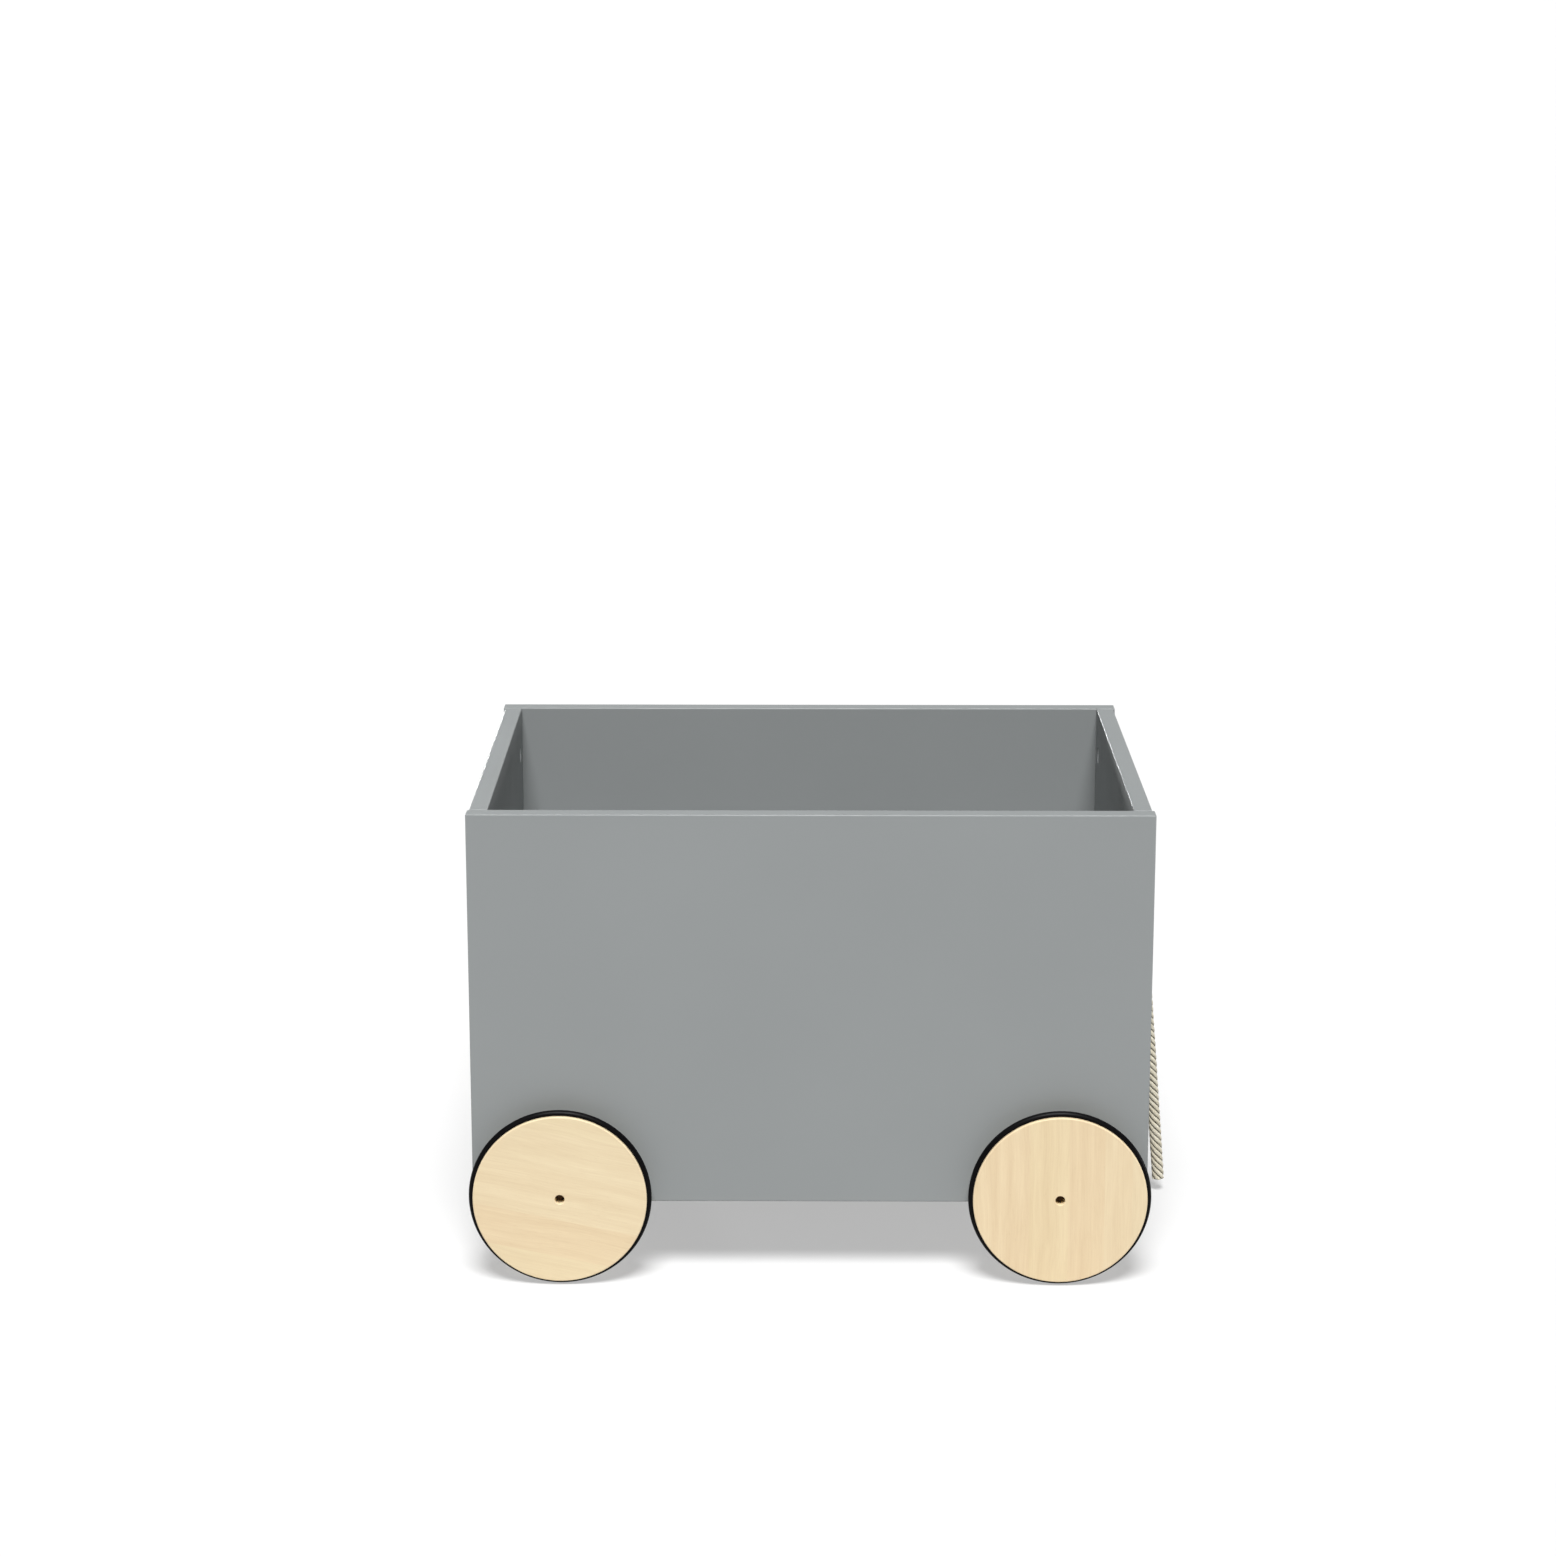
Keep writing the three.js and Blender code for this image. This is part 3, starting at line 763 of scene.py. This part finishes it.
# %% An outline with rounded corners, spun once round
def rounded_outline(corners, closed, bends=4):
    """Points for corners of (radius, along, rounding), all in millimetres."""
    points = []
    for i, (radius, along, rounding) in enumerate(corners):
        here = Vector((radius, along))
        if not rounding:
            points.append(here)
            continue
        back = (Vector(corners[i - 1][:2]) - here).normalized()
        ahead = (Vector(corners[(i + 1) % len(corners)][:2]) - here).normalized()
        half = back.angle(ahead) / 2
        reach = rounding / math.tan(half)
        centre = here + (back + ahead).normalized() * rounding / math.sin(half)
        first, last = here + back * reach - centre, here + ahead * reach - centre
        points.append(here + back * reach * 1.25)
        points += [centre + first.slerp(last, bend / bends) * rounding for bend in range(bends + 1)]
        points.append(here + ahead * reach * 1.25)
    return points + points[:1] if closed else points


def turned(points, sides):
    bm = bmesh.new()
    verts = [bm.verts.new(mm(radius, 0, along)) for radius, along in points]
    edges = [bm.edges.new(pair) for pair in zip(verts, verts[1:])]
    bmesh.ops.spin(
        bm,
        geom=verts + edges,
        cent=(0, 0, 0),
        axis=(0, 0, 1),
        angle=2 * math.pi,
        steps=sides,
        use_merge=True,
    )
    bmesh.ops.remove_doubles(bm, verts=bm.verts, dist=mm(0.001))
    bmesh.ops.recalc_face_normals(bm, faces=bm.faces)
    for face in bm.faces:
        face.smooth = True
    return bm


def stand_at(bm, axis, where):
    """Turns the piece's own axis to a new direction and moves it to its place."""
    turn = Vector((0, 0, 1)).rotation_difference(Vector(axis)).to_matrix()
    bmesh.ops.rotate(bm, cent=(0, 0, 0), matrix=turn, verts=bm.verts)
    bmesh.ops.translate(bm, vec=where, verts=bm.verts)
    return bm


# %% [markdown]
# Wood needs to know which way its grain runs. `lay_grain` stores each vertex's place along, across and
# through the grain, so a wheel may be cut from its board at any angle and its figure turns with it.

# %% Grain
def lay_grain(bm, along, through, start=(0, 0, 0)):
    along, through = Vector(along).normalized(), Vector(through)
    across = through.cross(along).normalized()
    layer = bm.verts.layers.float_vector.new("grain_place")
    for vert in bm.verts:
        vert[layer] = Vector(start) + Vector((vert.co.dot(along), vert.co.dot(across), vert.co.dot(through)))


# %% [markdown]
# ## Wheels
#
# Each wheel is a disc of glued staves with a softened rim and a round groove that the tyre sits in.
# The front wheels were cut from their board at different angles, so their grain runs nearly level on
# the left one and upright on the right one.

# %% Wheels and tyres
wheel_radius = 77
wheel_half = 7.5
bore_radius = 4.3
tyre_radius = 3.5  # of the tyre's round section
ridge_height = 0.08
tyre_middle = 77.5
seat_radius = tyre_radius + 0.3
wheel_sides = 192


def arc(radius, along, size, start, end, bends):
    angles = [math.radians(start + (end - start) * bend / bends) for bend in range(bends + 1)]
    return [Vector((radius + size * math.cos(a), along + size * math.sin(a))) for a in angles]


def wheel_outline():
    mouth = math.degrees(math.acos((tyre_middle - wheel_radius) / seat_radius))
    groove = arc(tyre_middle, 0, seat_radius, 180 + mouth, 180 - mouth, 14)
    half_outline = [
        (bore_radius, -wheel_half, 0.5),
        (wheel_radius, -wheel_half, 0.9),
    ]
    lower = rounded_outline([(bore_radius, 0, 0), *half_outline, (wheel_radius, 0, 0)], False, 6)[1:-1]
    upper = [Vector((point.x, -point.y)) for point in reversed(lower)]
    whole = lower + groove + upper
    return whole + whole[:1]


def tyre_outline():
    """A round section with the faint ridge that its mould leaves round the outside."""
    section = arc(tyre_middle, 0, tyre_radius - ridge_height, 4, 356, 30)
    ridge = [Vector((tyre_middle + tyre_radius, side * ridge_height)) for side in (-1, 1)]
    return section + ridge + section[:1]


grain_turns = {
    "front_left": (-12, 0.010),
    "back_left": (64, 0.31),
    "front_right": (90, 0.115),
    "back_right": (27, 0.73),
}
for corner, (turn, start) in grain_turns.items():
    hub = middle(f"{corner}_wheel")
    wheel = stand_at(turned(wheel_outline(), wheel_sides), (0, 1, 0), hub)
    grain = (math.cos(math.radians(turn)), 0, math.sin(math.radians(turn)))
    from_hub = Vector(grain).dot(hub)
    lay_grain(wheel, grain, (0, 1, 0), (0, start, 0))
    stand_in(f"{corner}_wheel", wheel)
    stand_in(f"{corner}_tyre", stand_at(turned(tyre_outline(), wheel_sides), (0, 1, 0), hub))

# %% [markdown]
# ## Axles, bushes and hub spacers
#
# Each axle is a plain steel bar through the box from front to back, pressed into a wheel at each end.
# It turns in black nylon bushes whose flanges sit on the panels. A spacer on each end keeps the
# wheel from rubbing on the flange.

# %% Running gear
def outwards(corner):
    return (0, -1, 0) if corner.startswith("front") else (0, 1, 0)


def face_of_panel(corner):
    """Where the axle's line meets the outer face of the front or back panel."""
    hub = middle(f"{corner}_wheel")
    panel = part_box("front_panel")[0][1] if corner.startswith("front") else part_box("back_panel")[1][1]
    return Vector((hub.x, panel, hub.z))


def bar_outline(radius, start, end, chamfer):
    return rounded_outline([(0, start, 0), (radius, start, chamfer), (radius, end, chamfer), (0, end, 0)], False, 3)


bush_corners = [
    (bore_radius, -16, 0.3),
    (6.3, -16, 0.6),
    (6.3, 0.3, 0),
    (10, 0.3, 0.2),
    (10, 2.3, 0.7),
    (bore_radius, 2.3, 0.4),
]
spacer_corners = [(bore_radius, 2.6, 0.3), (7.3, 2.6, 0.5), (7.3, 8.7, 0.5), (bore_radius, 8.7, 0.3)]
for side in ("left", "right"):
    low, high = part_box(f"{side}_axle")
    reach = (high[1] - low[1]) * 500
    bar = turned(bar_outline(4, -reach, reach, 0.6), 48)
    stand_in(f"{side}_axle", stand_at(bar, (0, 1, 0), middle(f"{side}_axle")))
for corner in grain_turns:
    for part, corners in (("bush", bush_corners), ("hub_spacer", spacer_corners)):
        ring = turned(rounded_outline(corners, True), 64)
        stand_in(f"{corner}_{part}", stand_at(ring, outwards(corner), face_of_panel(corner)))
print("Axles", round(2 * reach), "mm long")

# %% [markdown]
# ## Joints between the boards
#
# Two dowels and two cam fittings hold each corner. The bolt's thread goes into the front or back
# panel, its head goes into the cam, and a turn of the cam draws the boards together. Only the cams
# show, in round pockets inside the side panels. The CAD cam has its cross slot and its mouth, so it
# is copied and its rim is softened, and the bolts and dowels are turned.

# %% Cams, bolts and dowels
bolt_corners = [
    (0, -24.3, 0),
    (3.2, -24.3, 0.5),
    (3.2, -21.3, 0.5),
    (1.8, -21.3, 0.2),
    (1.8, -16.4, 0.2),
    (3.0, -16.4, 0.4),
    (3.0, 0, 0),
]
thread_pitch, thread_depth = 1.4, 0.45
dowel_corners = [(0, -18.4, 0), (4, -18.4, 1.0), (4, 11, 1.0), (0, 11, 0)]


def bolt_outline():
    outline = rounded_outline(bolt_corners, False)
    turns = int(8 / thread_pitch)
    for turn in range(turns):
        root = turn * thread_pitch + 0.7
        outline += [Vector((3.0, root - 0.35)), Vector((3.0 - thread_depth, root)), Vector((3.0, root + 0.35))]
    return outline + [Vector((1.5, 11)), Vector((0, 11))]


def soft_cam(node):
    bm = merged_copy(node)
    sharp = [edge for edge in bm.edges if turns_sharply(edge)]
    for face in bm.faces:
        face.smooth = abs(face.normal.x) < 0.5
    round_edges(bm, sharp, mm(0.22), 2)
    return bm


for corner in grain_turns:
    for level in ("lower", "upper"):
        name = f"{corner}_{level}"
        stand_in(f"{name}_cam", soft_cam(f"{name}_cam"))
        out = Vector(outwards(corner))
        joint = middle(f"{name}_cam_bolt") + out * mm((24.3 - 11) / 2)
        bolt = stand_at(turned(bolt_outline(), 32), out, joint)
        stand_in(f"{name}_cam_bolt", bolt)
        joint = middle(f"{name}_dowel") + out * mm((18.4 - 11) / 2)
        dowel = stand_at(turned(rounded_outline(dowel_corners, False), 32), out, joint)
        lay_grain(dowel, out, (1, 0, 0), joint * 3)
        stand_in(f"{name}_dowel", dowel)
print("Eight cams, eight bolts and eight dowels")

# %% [markdown]
# ## Cleats and screws
#
# The floor stands on two square cleats that are screwed to the side panels. Like the boards they are
# merged copies with rounded edges, and their grain runs along them. The screws keep their CAD shape
# with its cross slot, and their heads get a softened rim.

# %% Cleats and screws
for side in ("left", "right"):
    cleat = rounded_board(f"{side}_cleat", mm(1.2))
    lay_grain(cleat, (0, 1, 0), (1, 0, 0), (0, 0, 0.2 if side == "left" else 0.7))
    stand_in(f"{side}_cleat", cleat)
for node in [name for name in body_of if name.endswith("_screw")]:
    bm = merged_copy(node)
    sharp = [edge for edge in bm.edges if turns_sharply(edge)]
    round_edges(bm, sharp, mm(0.12), 2)
    stand_in(node, bm)
print("Two cleats and eight screws")

# %% [markdown]
# ## The rope in its place
#
# The two rope meshes made above become pieces now that there is a finish to give them.

# %% Rope and knot
rope = link_piece("laid_rope", rope_mesh, "pull_rope")
knot = link_piece("stopper_knot", knot_mesh, "rope_knot")

# %% [markdown]
# ## Floor and light
#
# The box stands on a plain pale floor that runs on to the horizon. One broad sun lamp stands for the
# studio's main light, high in front and a little to the right, so that the top edges are brightest,
# the front is even, and the inner sides fall dark. A weak, even sky fills the shadows.

# %% Floor
pale = bpy.data.materials.new("pale_floor")
pale.use_nodes = True
sheet = pale.node_tree.nodes["Principled BSDF"].inputs
sheet["Base Color"].default_value = (0.40, 0.40, 0.40, 1)
sheet["Roughness"].default_value = 0.9
sheet["Emission Color"].default_value = (1, 1, 1, 1)
looked_at = add_node(pale.node_tree, "LightPath").outputs["Is Camera Ray"]
glow = spread(pale.node_tree, looked_at, 0, 1, 0.1, 0.43)
pale.node_tree.links.new(glow, sheet["Emission Strength"])
floor_mesh = bpy.data.meshes.new("studio_floor")
bm = bmesh.new()
bmesh.ops.create_circle(bm, cap_ends=True, segments=64, radius=150)
bm.to_mesh(floor_mesh)
bm.free()
floor_mesh.materials.append(pale)
studio_floor = bpy.data.objects.new("studio_floor", floor_mesh)
bpy.context.collection.objects.link(studio_floor)


# %% Lights
def sun(name, strength, width, direction):
    light = bpy.data.lights.new(name, "SUN")
    light.energy = strength
    light.angle = math.radians(width)
    lamp = bpy.data.objects.new(name, light)
    lamp.rotation_euler = Vector(direction).to_track_quat("-Z", "Y").to_euler()
    bpy.context.collection.objects.link(lamp)


sun("main_light", 4.8, 22, (0.0, 0.55, -1.0))
sun("back_light", 1.5, 4, (0.3, -1.0, -0.03))
sun("side_light", 0.5, 3, (-1.0, 0.0, -0.015))
world = bpy.data.worlds.new("studio")
world.use_nodes = True
sky = world.node_tree
seen = add_node(sky, "LightPath").outputs["Is Camera Ray"]
sky.links.new(spread(sky, seen, 0, 1, 0.11, 1.0), sky.nodes["Background"].inputs["Strength"])
sky.nodes["Background"].inputs["Color"].default_value = (1, 1, 1, 1)
bpy.context.scene.world = world
bpy.context.scene.view_settings.view_transform = "Standard"
print("Two lamps and an even sky")
